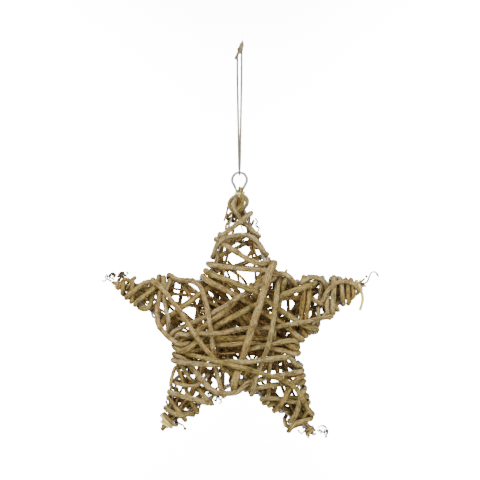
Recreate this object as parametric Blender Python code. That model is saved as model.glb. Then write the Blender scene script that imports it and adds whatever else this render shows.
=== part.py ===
"""Rattan star ornament: vines wound round a five-pointed wire frame, hung by a string from a wire eye.

Metres, +Z up, the front of the star faces -Y. The origin is where a hook holds the string, under its knot.

A place on the star's edge is one number, its turn. It counts the edges clockwise from the top tip, seen
from the front: 0 is the top tip, 1 the inner corner to its right, 2 the right tip, and so on to 10.
"""

import math

import bmesh
import bpy
import numpy as np

# Wire frame: a front and a back star of wire, pinched together at the tips.
TIP_RADIUS = 0.148
CORNER_RADIUS = 0.063
CORNER_DEPTH = 0.030
TIP_DEPTH = 0.0068
FRAME_WIRE = 0.0020
WIRE_SIDES = 6

# Hanging eye, a pear-shaped wire loop over the top tip.
EYE_WIDTH = 0.0193
EYE_WIRE = 0.0021
EYE_RISE = 0.0305
EYE_LEG = 0.0100
EYE_SIDES = 6

# Hanging string, one cord looped through the eye and knotted at the top.
STRING = 0.0019
STRING_DROP = 0.1385
STRING_SPREAD = 0.0048
KNOT_WIDTH = 0.0062
KNOT_HEIGHT = 0.0068
KNOT_TAIL = 0.0058

# Core sticks and cane bindings at the five tips.
STICK = 0.0042
STICK_INSIDE = 0.0300
STICK_SIDES = 7
CANE_WIDTH = 0.0030
CANE_THICKNESS = 0.0009
BINDING_PITCH = 0.0033

# Vines.
VINE = 0.0050
VINE_SIDES = 5
GAP = 0.0004
TURN_SLACK = 0.0020
LAYER_STEP = 0.0006
BACK_LAYERS = 5
TAIL = 0.0150

# How the vines are settled until none touches another. In one step a point moves by the share SMOOTHING
# of its way to a straight run, and by the share HOMING of its way back to the route.
SPACING = 0.0075
SETTLE_STEPS = 240
CLEAR_STEPS = 400
SMOOTHING = 0.14
HOMING = 0.06
NEXT_TO = 0.0100
STRAIGHT_WITHIN = 0.0020

TIP_NAMES = ("top", "right", "lower_right", "lower_left", "left")
CORNER_NAMES = ("top_right", "right_low", "bottom", "left_low", "top_left")

# For each tip: how far its stick ends beyond it, how far its binding sits outwards of it, the turns of
# the binding, and how many degrees the tip is bent aside, clockwise seen from the front.
STICK_BEYOND = (0.0140, 0.0060, 0.0060, 0.0060, 0.0090)
BINDING_SHIFT = (0.0040, -0.0020, 0.0010, -0.0040, 0.0010)
BINDING_TURNS = (1.2, 1.8, 1.6, 1.8, 1.2)
TIP_LEAN = (0.0, 0.0, 2.6, 0.0, 0.0)

# Each vine: its name, its thickness at both ends as a share of VINE, its layer, 0 next to the wires, and
# its strands over the front of the star. A strand runs from turn to turn by way of the pairs between them,
# (x, z) from the star's centre in hundredths of TIP_RADIUS. From each strand's end the vine goes over the
# back to the next one's start. A pair at the very start or end is a cut end on the front, a lone turn one
# on the back.
VINES = (
    ("vine_top_1", 0.88, 1.12, 1, (((-2, 101), (-7, 97), (-8, 93), (1, 84), 0.50),
                                 (9.26, (-17, 66), (-1, 72), (14, 70), 0.72), (9.10, ))),
    ("vine_top_2", 0.76, 0.84, 0, (((2, 102), (7, 99), (3, 93), 9.74), (0.36, ))),
    ("vine_top_3", 1.20, 1.04, 2, ((0.40, ), (9.47, 0.88), (9.17, (35, 41), (45, 31), (66, 14), 2.40))),
    ("vine_top_4", 1.20, 1.04, 4, ((0.21, 9.50), (0.60, ))),
    ("vine_left_1", 0.88, 0.96, 1, ((8.06, 7.90), (8.14, 7.77), (8.30, ))),
    ("vine_left_2", 1.00, 1.04, 1, ((7.75, (-71, 27), 8.49), (7.70, (-76, 12), (-72, 8), (-68, 19), 8.44))),
    ("vine_left_3", 1.16, 1.08, 2, ((8.50, (-65, 19), (-62, 0), (-58, -8), (-52, -11), 6.98), (9.20, ))),
    ("vine_left_4", 0.92, 0.88, 1, ((7.56, ), (8.57, (-61, 16), 7.20), (8.72, ))),
    ("vine_right_1", 1.08, 0.96, 2, ((1.36, 2.84), (1.43, 2.78), (1.20, ))),
    ("vine_right_2", 1.00, 0.96, 0, ((1.58, (66, 23), 2.66), (1.48, ))),
    ("vine_right_3", 1.12, 0.96, 2, ((1.69, 2.43), (1.80, 2.30), (1.74, ))),
    ("vine_right_4", 0.96, 0.88, 1, ((1.86, 2.17), (1.90, 2.10))),
    ("vine_right_5", 1.08, 0.92, 3, (((48, 31), (56, 38), (66, 35), (72, 22), 2.50), (1.60, ))),
    ("vine_right_6", 0.84, 0.72, 4, (((65, 18), (67, 28), (72, 34), (80, 36), (88, 34), (92, 26), 2.06), )),
    ("vine_lower_right_1", 1.24, 0.96, 2, ((4.88, (21, -48), 3.44), (3.53, (47, -64), 4.22), (3.70, ))),
    ("vine_lower_right_2", 1.12, 1.00, 4, ((3.39, (38, -50), 4.47), (3.85, 4.23), (3.92, ))),
    ("vine_lower_right_3", 0.96, 0.88, 0, ((3.80, (52, -80), (45, -80), 4.30), (3.62, 4.58))),
    ("vine_lower_left_1", 1.20, 1.00, 3, (((-23, -60), (-43, -57), 6.41),
                                        (5.64, (-41, -68), (-45, -73), 6.22))),
    ("vine_lower_left_2", 0.92, 0.88, 1, ((6.70, (-44, -49), 5.60), (6.34, 5.76), (6.12, ))),
    ("vine_lower_left_3", 0.96, 0.88, 0, ((6.80, (-36, -47), 5.42), (6.60, ))),
    ("vine_lower_left_4", 0.84, 0.72, 2, ((6.86, (-54, -42), 6.44), (5.88, 6.14), (5.94, ))),
    ("vine_lower_left_5", 0.88, 0.76, 1, (((-24, -38), (-34, -50), 6.52), (5.34, ))),
    ("vine_body_1", 1.24, 1.16, 0, (((-15, 36), 7.36), (3.02, (7, -9), 7.04), (1.22, ))),
    ("vine_body_2", 1.28, 1.16, 1, ((8.98, (8, 18), 2.90), (7.02, 0.93), (4.20, ))),
    ("vine_body_3", 1.08, 1.04, 2, ((7.20, (-27, 6), 0.96), (5.60, ))),
    ("vine_body_4", 1.36, 1.20, 3, ((9.08, (14, 26), 2.77), (6.95, (3, 11), (49, 30), 1.52), (4.93, ))),
    ("vine_body_5", 1.04, 1.04, 4, ((8.57, (-41, 37), (-30, 33), (-26, 20), (-22, -12), 5.25), (9.44, ))),
    ("vine_body_6", 1.04, 0.88, 0, ((1.14, (28, -1), (22, -42), 4.60), (3.68, 4.66))),
    ("vine_body_7", 1.08, 1.04, 2, ((3.07, (17, -14), 6.93), (2.32, ))),
    ("vine_body_8", 1.28, 1.08, 5, ((1.30, ),
                                  (6.82, (-24, -50), (-13, -54), (-4, -51), (8, -46), (20, -43), 3.34),
                                  (8.70, ))),
    ("vine_body_9", 1.12, 1.04, 11, ((6.79, (-21, -29), (16, -28), (41, -22), 3.30), (6.60, ))),
    ("vine_body_10", 1.08, 1.00, 12, ((6.89, (-3, -32), (39, -43), (48, -52), 3.80), (4.80, ))),
    ("vine_body_11", 1.00, 1.24, 8, ((7.79, (-80, 32), (-70, 37), (-62, 32), (-41, 4), (-20, -28), 4.97),
                                   (3.18, ))),
    ("vine_body_12", 0.96, 1.36, 7, (((73, 7), (48, 1), (0, -3), 7.07), (4.70, ))),
    ("vine_body_13", 1.08, 1.00, 9, ((1.06, (26, 0), (20, -24), 4.84), (7.60, ))),
    ("vine_body_14", 1.68, 1.44, 10, ((0.91, (10, 0), 5.05), (8.92, ))),
    ("vine_body_15", 1.04, 1.12, 3, (((2, -20), (26, -15), 3.01), (2.72, ))),
)


def length_of(vector):
    return float(np.linalg.norm(vector))


def unit(vector):
    return vector / max(length_of(vector), 1e-12)


# The star's outline.
def star_centre():
    return np.array([0.0, 0.0, -(STRING_DROP + EYE_RISE + TIP_RADIUS)])


def outline_corner(index):
    """The tip or inner corner of that index, in the plane of the star."""
    radius = CORNER_RADIUS if index % 2 else TIP_RADIUS
    lean = 0.0 if index % 2 else TIP_LEAN[index // 2 % 5]
    angle = math.radians(90 - 36 * index - lean)
    return radius * np.array([math.cos(angle), math.sin(angle)])


def edge_place(turn):
    """The wire's place in the plane, its outward direction there and half the frame's depth."""
    index, share = int(turn // 1), turn % 1
    a, b = outline_corner(index), outline_corner(index + 1)
    along = unit(b - a)
    out = np.array([-along[1], along[0]])
    place = a + (b - a) * share
    to_corner = share if index % 2 == 0 else 1 - share
    near_corner = max(0.0, (to_corner - 0.8) / 0.2)
    out = unit(out * (1 - 0.8 * near_corner) + unit(place) * 0.8 * near_corner)
    half_depth = (TIP_DEPTH + (CORNER_DEPTH - TIP_DEPTH) * to_corner) / 2
    return place, out, half_depth


def in_space(flat, y):
    """A point of the star's plane, moved to y, in the part's own frame."""
    return star_centre() + np.array([flat[0], y, flat[1]])


# Vine routes before they are settled.
def half_depth_at(flat):
    """Half the frame's depth at a place in the plane, least at the tips."""
    along = max(flat @ unit(outline_corner(index)) for index in range(0, 10, 2))
    corner = CORNER_RADIUS * math.cos(math.radians(36))
    share = min(max((TIP_RADIUS - along) / (TIP_RADIUS - corner), 0.0), 1.0)
    return (TIP_DEPTH + (CORNER_DEPTH - TIP_DEPTH) * share) / 2


def vine_route(strands, radius, layer):
    """Corner points of a vine: each strand over the front, and the runs over the back that join them."""
    lift = FRAME_WIRE / 2 + radius + GAP + LAYER_STEP * layer
    back_lift = FRAME_WIRE / 2 + radius + GAP + LAYER_STEP * (BACK_LAYERS - 1 - layer % BACK_LAYERS)

    def flat_of(item):
        return np.array(item) / 100 * TIP_RADIUS if isinstance(item, tuple) else edge_place(item)[0]

    def over(flat, side):
        return in_space(flat, -half_depth_at(flat) - lift if side < 0 else half_depth_at(flat) + back_lift)

    def beside(turn, onward, side):
        """Just outside the wire on one side of the star, -1 for the front, heading for the item onward."""
        flat = edge_place(turn)[0]
        return over(flat - unit(flat_of(onward) - flat) * FRAME_WIRE / 2, side)

    def beyond(turn):
        flat, out, _ = edge_place(turn)
        return in_space(flat + out * (FRAME_WIRE / 2 + radius + TURN_SLACK), 0.0)

    points = []
    for index, strand in enumerate(strands):
        lone = len(strand) == 1
        if index and not isinstance(strand[0], tuple):
            points.append(beside(strand[0], strands[index - 1][-1], 1))
        if lone and not index:
            points.append(beside(strand[0], strands[1][0], 1))
        for place, item in enumerate(strand if not lone else ()):
            if isinstance(item, tuple):
                points.append(over(flat_of(item), -1))
            elif place == 0:
                points += [beyond(item), beside(item, strand[1], -1)]
            else:
                points += [beside(item, strand[-2], -1), beyond(item)]
        if index + 1 < len(strands) and not lone:
            points.append(beside(strand[-1], strands[index + 1][0], 1))
    first, last = strands[0], strands[-1]
    if len(first) > 1 and not isinstance(first[0], tuple):
        flat, out, _ = edge_place(first[0])
        points.insert(0, over(flat - out * TAIL, 1))
    if len(last) > 1 and not isinstance(last[-1], tuple):
        flat, out, _ = edge_place(last[-1])
        points.append(over(flat - out * TAIL, 1))
    return np.array(points)


def lengths_along(points):
    """How far along the line each of its points is."""
    return np.concatenate([[0], np.cumsum(np.linalg.norm(np.diff(points, axis=0), axis=1))])


def spaced(points, step):
    """The line again, with its points about step apart."""
    along = lengths_along(points)
    at = np.linspace(0, along[-1], max(4, round(along[-1] / step) + 1))
    return np.stack([np.interp(at, along, points[:, axis]) for axis in range(3)], axis=1)


# Settling: the vines are pushed apart where they touch, and stay smooth and near their routes.
class Rods:
    """All lines as one set of points, with the segments between them."""

    def __init__(self):
        self.points, self.radii, self.free, self.layer, self.line = [], [], [], [], []
        self.starts = []

    def add(self, points, radii, free, layer):
        self.starts.append((sum(len(p) for p in self.points), len(points)))
        self.points.append(np.array(points, float))
        self.radii.append(np.broadcast_to(radii, len(points)).astype(float))
        self.free.append(np.full(len(points), float(free)))
        self.layer.append(np.full(len(points), float(layer)))
        self.line.append(np.full(len(points), len(self.line)))
        return len(self.starts) - 1

    def ready(self):
        self.points, self.radii = np.concatenate(self.points), np.concatenate(self.radii)
        self.free, self.layer = np.concatenate(self.free), np.concatenate(self.layer)
        self.line = np.concatenate(self.line)
        self.home = self.points.copy()
        self.along = lengths_along(self.points)
        same = self.line[:-1] == self.line[1:]
        self.segments = np.nonzero(same)[0]
        self.inner = np.nonzero(same[:-1] & same[1:] & (self.free[1:-1] > 0))[0] + 1

    def line_points(self, index):
        start, count = self.starts[index]
        return self.points[start:start + count], self.radii[start:start + count]

    def near_pairs(self, reach):
        """Pairs of segments that could touch, without neighbours on one line or two fixed ones."""
        first, second = self.segments, self.segments + 1
        middle = (self.points[first] + self.points[second]) / 2
        half = np.linalg.norm(self.points[second] - self.points[first], axis=1) / 2
        size = half + self.radii[first]
        apart = np.linalg.norm(middle[:, None] - middle[None], axis=2)
        near = np.triu(apart < size[:, None] + size[None] + reach, 1)
        a, b = np.nonzero(near)
        a, b = self.segments[a], self.segments[b]
        next_to = (self.line[a] == self.line[b]) & (self.along[b] - self.along[a + 1] < NEXT_TO)
        keep = ~next_to & (self.free[a] + self.free[b] > 0)
        return a[keep], b[keep]

    def closest(self, a, b):
        """How far along each pair of segments they come nearest, and the way between them there."""
        p, q = self.points[a], self.points[b]
        u, v = self.points[a + 1] - p, self.points[b + 1] - q
        w = p - q
        uu, uv, vv = (u * u).sum(1), (u * v).sum(1), (v * v).sum(1)
        uw, vw = (u * w).sum(1), (v * w).sum(1)
        scale = np.maximum(uu * vv - uv * uv, 1e-16)
        s = np.clip((uv * vw - vv * uw) / scale, 0, 1)
        t = np.clip((uv * s + vw) / np.maximum(vv, 1e-16), 0, 1)
        s = np.clip((uv * t - uw) / np.maximum(uu, 1e-16), 0, 1)
        return s, t, w + s[:, None] * u - t[:, None] * v

    def push_apart(self, pairs, spare, ordered):
        """Moves touching segments apart, and returns how deep the worst of them was."""
        a, b = pairs
        s, t, way = self.closest(a, b)
        gap = np.linalg.norm(way, axis=1)
        radius_a = self.radii[a] * (1 - s) + self.radii[a + 1] * s
        radius_b = self.radii[b] * (1 - t) + self.radii[b + 1] * t
        depth = radius_a + radius_b + spare - gap
        hit = depth > 0
        if not hit.any():
            return 0.0
        a, b, s, t, way, gap, depth = (x[hit] for x in (a, b, s, t, way, gap, depth))
        normal = way / np.maximum(gap, 1e-9)[:, None]
        if ordered:
            y_a, y_b = self.points[a, 1], self.points[b, 1]
            side = np.where(np.minimum(np.abs(y_a), np.abs(y_b)) > CORNER_DEPTH / 5, np.sign(y_a), 0)
            side *= np.sign(y_a) == np.sign(y_b)
            wanted = side * np.sign(self.layer[a] - self.layer[b])
            wrong = (wanted != 0) & (np.sign(way[:, 1]) != wanted) & (np.abs(normal[:, 1]) > 0.5)
            normal[wrong] = np.stack([0 * wanted[wrong], wanted[wrong], 0 * wanted[wrong]], 1)
            depth = np.where(wrong, depth + 2 * gap, depth)
        free_a, free_b = self.free[a], self.free[b]
        share_a = (free_a / (free_a + free_b))[:, None]
        weight = 1 / np.maximum((1 - s) ** 2 + s**2, 0.5)
        weight_b = 1 / np.maximum((1 - t) ** 2 + t**2, 0.5)
        push = depth[:, None] * normal * 0.5
        shift, count = np.zeros_like(self.points), np.zeros(len(self.points))
        for index, amount in (
            (a, push * share_a * (weight * (1 - s))[:, None]),
            (a + 1, push * share_a * (weight * s)[:, None]),
            (b, -push * (1 - share_a) * (weight_b * (1 - t))[:, None]),
            (b + 1, -push * (1 - share_a) * (weight_b * t)[:, None]),
        ):
            np.add.at(shift, index, amount)
            np.add.at(count, index, np.linalg.norm(amount, axis=1) > 1e-9)
        self.points += shift * self.free[:, None] / np.maximum(np.sqrt(count), 1)[:, None]
        return float(depth.max())

    def settle(self):
        for step in range(SETTLE_STEPS):
            if step % 8 == 0:
                pairs = self.near_pairs(VINE)
            calm = 1 - step / SETTLE_STEPS
            i = self.inner
            bend = (self.points[i - 1] + self.points[i + 1]) / 2 - self.points[i]
            self.points[i] += SMOOTHING * bend * max(calm, 0.35)
            pull = np.array([1.0, 0.5, 1.0]) * HOMING * max(calm, 0.3)
            self.points += self.free[:, None] * (self.home - self.points) * pull
            self.push_apart(pairs, 2 * GAP, step < SETTLE_STEPS // 2)

    def clear(self):
        """Moves apart whatever still touches."""
        for step in range(CLEAR_STEPS):
            if step % 6 == 0:
                pairs = self.near_pairs(VINE)
            if self.push_apart(pairs, 2 * GAP, False) < GAP and step % 6 == 0:
                break


def straightened(points, radii, within=STRAIGHT_WITHIN):
    """The line with the points left out that lie almost on a straight run between others."""
    keep, todo = {0, len(points) - 1}, [(0, len(points) - 1)]
    while todo:
        a, b = todo.pop()
        if b - a < 2:
            continue
        run, rest = points[b] - points[a], points[a + 1:b] - points[a]
        share = np.clip(rest @ run / max(run @ run, 1e-15), 0, 1)[:, None]
        away = np.linalg.norm(rest - share * run, axis=1)
        far = int(away.argmax())
        if away[far] > within:
            keep.add(a + 1 + far)
            todo += [(a, a + 1 + far), (a + 1 + far, b)]
    kept = sorted(keep)
    return points[kept], radii[kept]


# Meshes.
def material(name, colour, roughness, metallic=0.0):
    made = bpy.data.materials.new(name)
    made.use_nodes = True
    shader = made.node_tree.nodes["Principled BSDF"]
    shader.inputs["Base Color"].default_value = (*colour, 1)
    shader.inputs["Roughness"].default_value = roughness
    shader.inputs["Metallic"].default_value = metallic
    return made


def carried_frames(points, closed=False):
    """Two directions across the line at each point, carried along it without twisting."""
    ahead = np.roll(points, -1, axis=0) - points
    behind = points - np.roll(points, 1, axis=0)
    if not closed:
        ahead[-1], behind[0] = behind[-1], ahead[0]
    ahead /= np.linalg.norm(ahead, axis=1)[:, None]
    behind /= np.linalg.norm(behind, axis=1)[:, None]
    along = ahead + behind
    along /= np.linalg.norm(along, axis=1)[:, None]
    side = unit(np.cross(along[0], (0, 1, 0) if abs(along[0][1]) < 0.9 else (1, 0, 0)))
    frames = []
    for direction in along:
        side = unit(side - direction * (side @ direction))
        frames.append((side, np.cross(direction, side)))
    return frames


def tube(name, points, radii, sides, closed=False, across=None):
    """A tube along the points, with flat ends unless it is closed. across gives another section."""
    points = np.asarray(points, float)
    radii = np.broadcast_to(radii, len(points))
    shape = bmesh.new()
    rings = []
    if across is None:
        angles = [2 * math.pi * k / sides for k in range(sides)]
        across = [(math.cos(angle), math.sin(angle)) for angle in angles]
    for point, radius, (side, up) in zip(points, radii, carried_frames(points, closed)):
        rings.append([shape.verts.new(point + radius * (x * side + y * up)) for x, y in across])
    last = len(rings) if closed else len(rings) - 1
    for index in range(last):
        ring, following = rings[index], rings[(index + 1) % len(rings)]
        for k in range(len(ring)):
            after = (k + 1) % len(ring)
            shape.faces.new((ring[k], following[k], following[after], ring[after]))
    if not closed:
        shape.faces.new(rings[0])
        shape.faces.new(reversed(rings[-1]))
    bmesh.ops.recalc_face_normals(shape, faces=shape.faces)
    mesh = bpy.data.meshes.new(name)
    shape.to_mesh(mesh)
    shape.free()
    mesh.shade_smooth()
    mesh.set_sharp_from_angle(angle=math.radians(60))
    made = bpy.data.objects.new(name, mesh)
    bpy.context.scene.collection.objects.link(made)
    return made


# Wire frame.
def frame_star(side):
    """Points of the front or the back wire star, two at each bend so that it is rounded."""
    points = []
    for index in range(10):
        bend = 0.02 if index % 2 else 0.01
        for turn in ((index - bend) % 10, index + bend):
            flat, _, depth = edge_place(turn)
            points.append(in_space(flat, side * depth))
    return np.array(points)


def corner_posts():
    """The straight wires welded between the two stars, one at each inner corner."""
    posts = []
    for index in range(1, 10, 2):
        flat, _, depth = edge_place(float(index))
        reach = max(depth - FRAME_WIRE / 2 - GAP, FRAME_WIRE / 2)
        posts.append(np.array([in_space(flat, -reach), in_space(flat, reach)]))
    return posts


def build_frame(finish):
    for name, side in (("wire_star_front", -1), ("wire_star_back", 1)):
        tube(name, frame_star(side), FRAME_WIRE / 2, WIRE_SIDES, closed=True).data.materials.append(finish)
    for name, post in zip(CORNER_NAMES, corner_posts()):
        tube("wire_post_" + name, post, FRAME_WIRE / 2, WIRE_SIDES).data.materials.append(finish)


# Hanging eye.
def eye_route():
    """The wire of the eye, up one side of the core stick, round the loop and down the other side."""
    tip = star_centre() + np.array([0, 0, TIP_RADIUS])
    leg_x = STICK / 2 + EYE_WIRE / 2 + GAP
    ring = EYE_WIDTH / 2 - EYE_WIRE / 2
    ring_z = EYE_RISE - EYE_WIRE / 2 - ring
    neck = BINDING_SHIFT[0] + binding_reach(0) + GAP
    points = [(leg_x, -EYE_LEG), (leg_x, 0.0), (leg_x, neck)]
    meets = math.radians(-38)
    steps = 14
    for k in range(steps + 1):
        angle = meets + (math.pi - 2 * meets) * k / steps
        points.append((ring * math.cos(angle), ring_z + ring * math.sin(angle)))
    points += [(-x, z) for x, z in reversed(points[:3])]
    return np.array([tip + np.array([x, 0, z]) for x, z in points])


# Tips.
def arm_direction(number):
    flat = unit(outline_corner(2 * number))
    return np.array([flat[0], 0, flat[1]])


def stick_route(number):
    tip, along = star_centre() + TIP_RADIUS * arm_direction(number), arm_direction(number)
    ends = (-STICK_INSIDE, 0.0, STICK_BEYOND[number])
    return np.array([tip + along * at for at in ends])


def binding_reach(number):
    """How far a binding goes along the arm each way from its middle."""
    return (BINDING_PITCH * BINDING_TURNS[number] + CANE_WIDTH) / 2


def binding_middle(number):
    tip, along = star_centre() + TIP_RADIUS * arm_direction(number), arm_direction(number)
    return tip + along * BINDING_SHIFT[number]


def binding_radius(number):
    """Inside radius of a binding, round the pinched wires and the legs of the eye."""
    inward = max(binding_reach(number) - BINDING_SHIFT[number], 0.0)
    flat, _, half_depth = edge_place(inward / (TIP_RADIUS - CORNER_RADIUS * math.cos(math.radians(36))))
    wires = math.hypot(flat[0], half_depth) + FRAME_WIRE / 2
    legs = STICK / 2 + GAP + EYE_WIRE
    return max(wires, legs) + GAP


def binding_route(number):
    """A flat cane wound round the tip, from its outer end inwards."""
    middle, along = binding_middle(number), arm_direction(number)
    across = np.cross(along, (0, 1, 0))
    radius = binding_radius(number) + CANE_THICKNESS / 2
    turns = BINDING_TURNS[number]
    count = round(9.5 * turns)
    points = []
    for k in range(count + 1):
        share = k / count
        angle = 2 * math.pi * turns * share
        place = middle + along * BINDING_PITCH * turns * (0.5 - share)
        points.append(place + radius * (math.cos(angle) * across + math.sin(angle) * np.array([0, 1, 0])))
    return np.array(points)


def build_binding(number, finish):
    """The cane is swept with its flat side towards the tip's middle."""
    name = "tip_binding_" + TIP_NAMES[number]
    tip, along = star_centre() + TIP_RADIUS * arm_direction(number), arm_direction(number)
    shape = bmesh.new()
    rings = []
    for point in binding_route(number):
        middle = tip + along * ((point - tip) @ along)
        outward = unit(point - middle)
        half_width, half_thick = CANE_WIDTH / 2, CANE_THICKNESS / 2
        corners = ((-1, -1), (1, -1), (1, 1), (-1, 1))
        rings.append([
            shape.verts.new(point + along * half_width * w + outward * half_thick * t) for w, t in corners
        ])
    for ring, following in zip(rings, rings[1:]):
        for k in range(4):
            after = (k + 1) % 4
            shape.faces.new((ring[k], following[k], following[after], ring[after]))
    shape.faces.new(rings[0])
    shape.faces.new(reversed(rings[-1]))
    bmesh.ops.recalc_face_normals(shape, faces=shape.faces)
    mesh = bpy.data.meshes.new(name)
    shape.to_mesh(mesh)
    shape.free()
    made = bpy.data.objects.new(name, mesh)
    made.data.materials.append(finish)
    bpy.context.scene.collection.objects.link(made)


# Hanging string.
def smooth_through(points, count):
    """count points on a smooth curve through the given ones."""
    points = np.array(points, float)
    padded = np.concatenate([[2 * points[0] - points[1]], points, [2 * points[-1] - points[-2]]])
    made = []
    for place in np.linspace(0, len(points) - 1, count):
        k = min(int(place), len(points) - 2)
        t = place - k
        a, b, c, d = padded[k:k + 4]
        made.append(0.5 * (2 * b + (c - a) * t + (2 * a - 5 * b + 4 * c - d) * t**2
                           + (3 * b - a - 3 * c + d) * t**3))
    return np.array(made)


def string_route():
    """Down from the knot on the left, under the top of the eye, and up on the right."""
    half = STRING_SPREAD / 2
    knot_base = KNOT_HEIGHT * 0.02
    wrap = (EYE_WIRE + STRING) / 2 + 1.5 * GAP
    eye_z = -STRING_DROP - EYE_WIRE / 2
    shares = ((1.0, 0.0, 0.0), (1.05, 0.0, 0.14), (0.80, 0.1, 0.42), (0.45, 0.5, 0.75), (0.20, 1.0, 0.95))
    left = [(-half * x, wrap * y, knot_base + (eye_z - knot_base) * z) for x, y, z in shares]
    right = [(-x, -y, z) for x, y, z in reversed(left)]
    bend = [math.pi * k / 6 for k in range(7)]
    under = [(0, wrap * math.cos(angle), eye_z - wrap * math.sin(angle)) for angle in bend]
    return np.concatenate([spaced(smooth_through(left, 120), 3.0 * STRING), under,
                           spaced(smooth_through(right, 120), 3.0 * STRING)])


def build_string(finish):
    points = string_route()
    curve = bpy.data.curves.new("hanging_string", "CURVE")
    curve.dimensions = "3D"
    line = curve.splines.new("POLY")
    line.points.add(len(points) - 1)
    for place, point in zip(line.points, points):
        place.co = (*point, 1)
    curve.bevel_depth = STRING / 2
    curve.bevel_resolution = 2
    curve.use_fill_caps = True
    made = bpy.data.objects.new("hanging_string", curve)
    made.data.materials.append(finish)
    bpy.context.scene.collection.objects.link(made)


def build_knot(finish):
    """A plain knot, with one cut end standing up from it and a shorter one hanging at its left."""
    base = KNOT_HEIGHT * 0.02 + GAP
    rounded = ((0.45, 0.0), (0.86, 0.18), (1.0, 0.5), (0.86, 0.82), (0.45, 1.0))
    points = [(0, 0, base + KNOT_HEIGHT * share) for _, share in rounded]
    radii = [KNOT_WIDTH / 2 * wide for wide, _ in rounded]
    tube("string_knot", points, radii, 10).data.materials.append(finish)
    top = base + KNOT_HEIGHT + GAP
    side = -KNOT_WIDTH / 2 - GAP
    rising = [(KNOT_TAIL * x, 0, top + KNOT_TAIL * z)
              for x, z in ((0.10, 0.0), (0.16, 0.4), (0.34, 0.8), (0.55, 1.0))]
    hanging = [(side - KNOT_TAIL * x, 0, base + KNOT_HEIGHT * z)
               for x, z in ((0.0, 0.50), (0.16, 0.42), (0.32, 0.05), (0.38, -0.70))]
    for name, route in (("string_end_long", rising), ("string_end_short", hanging)):
        tube(name, route, STRING / 2, 7).data.materials.append(finish)


# Vines.
def fixed_lines():
    """The points and radius of everything the vines must keep clear of."""
    lines = [(np.concatenate([star, star[:1]]), FRAME_WIRE / 2) for star in (frame_star(-1), frame_star(1))]
    lines += [(post, FRAME_WIRE / 2) for post in corner_posts()]
    lines.append((eye_route(), EYE_WIRE / 2))
    for number in range(5):
        middle, along = binding_middle(number), arm_direction(number)
        radius = binding_radius(number) + CANE_THICKNESS
        reach = max(binding_reach(number) - radius / 2, GAP)
        lines.append((stick_route(number), STICK / 2))
        lines.append((np.array([middle - along * reach, middle + along * reach]), radius))
    return lines


def with_fixed():
    rods = Rods()
    for points, radius in fixed_lines():
        rods.add(spaced(points, SPACING), radius, 0, 0)
    return rods


def settled_vines():
    """The name, points and radii of each vine once none of them touches anything."""
    rods, ranks, numbers = with_fixed(), [], []
    for index, (name, first, last, layer, strands) in enumerate(VINES):
        route = spaced(vine_route(strands, VINE * (first + last) / 4, layer), SPACING)
        radii = np.linspace(first, last, len(route)) * VINE / 2
        ranks.append(1 + layer + index / 100)
        numbers.append(rods.add(route, radii, 1, ranks[-1]))
    rods.ready()
    rods.settle()
    rods.clear()
    plain, kept = with_fixed(), []
    for number, rank in zip(numbers, ranks):
        kept.append(plain.add(*straightened(*rods.line_points(number)), 1, rank))
    plain.ready()
    plain.clear()
    return [(vine[0], *plain.line_points(number)) for vine, number in zip(VINES, kept)]


def clear_scene():
    for thing in list(bpy.data.objects):
        bpy.data.objects.remove(thing)


def main():
    clear_scene()
    zinc = material("galvanised_wire", (0.52, 0.54, 0.56), 0.38, 1.0)
    bark = material("vine_bark", (0.40, 0.29, 0.14), 0.75)
    heart = material("core_stick", (0.42, 0.27, 0.10), 0.70)
    cane = material("cane_binding", (0.78, 0.66, 0.42), 0.60)
    jute = material("jute_string", (0.62, 0.52, 0.38), 0.90)
    build_frame(zinc)
    eye = tube("hanging_eye", eye_route(), EYE_WIRE / 2, EYE_SIDES)
    eye.data.materials.append(zinc)
    for number, tip in enumerate(TIP_NAMES):
        stick = tube("core_stick_" + tip, stick_route(number), STICK / 2, STICK_SIDES)
        stick.data.materials.append(heart)
        build_binding(number, cane)
    for name, points, radii in settled_vines():
        tube(name, points, radii, VINE_SIDES).data.materials.append(bark)
    build_string(jute)
    build_knot(jute)


main()
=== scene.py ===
"""The looks of the rattan star ornament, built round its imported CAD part.

Metres, +Z up, the front of the star faces -Y. The origin is where a hook holds the string, under its knot.
"""

import math

import bpy
import numpy as np
from numpy.linalg import norm
from numpy.random import default_rng
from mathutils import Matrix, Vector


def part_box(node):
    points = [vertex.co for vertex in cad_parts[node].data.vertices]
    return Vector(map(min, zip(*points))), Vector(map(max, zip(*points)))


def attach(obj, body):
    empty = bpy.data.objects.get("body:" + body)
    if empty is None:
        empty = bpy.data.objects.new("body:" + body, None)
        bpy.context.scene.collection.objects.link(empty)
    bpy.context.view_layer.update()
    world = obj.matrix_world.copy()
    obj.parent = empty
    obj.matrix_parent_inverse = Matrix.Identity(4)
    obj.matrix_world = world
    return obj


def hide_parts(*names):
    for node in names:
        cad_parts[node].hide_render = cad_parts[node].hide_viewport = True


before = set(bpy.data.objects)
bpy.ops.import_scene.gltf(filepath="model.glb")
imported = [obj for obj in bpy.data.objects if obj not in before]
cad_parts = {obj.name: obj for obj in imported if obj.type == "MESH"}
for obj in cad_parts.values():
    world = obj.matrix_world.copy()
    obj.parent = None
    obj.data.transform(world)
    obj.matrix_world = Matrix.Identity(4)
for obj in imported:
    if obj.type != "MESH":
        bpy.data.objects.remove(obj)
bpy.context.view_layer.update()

MM = 0.001
TURN = 2 * math.pi
BACKWARD = np.array([0, 1.0, 0])

# Sizes of the part that this script repeats, in metres.
STAR_Z = -0.317
STAR_CENTRE = np.array([0, 0, STAR_Z])
TIP_RADIUS = 0.148
CORNER_RADIUS = 0.063
CORNER_ALONG_ARM = 0.051
CORNER_DEPTH = 0.030
TIP_DEPTH = 0.0068
STICK_INSIDE = 0.030

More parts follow.
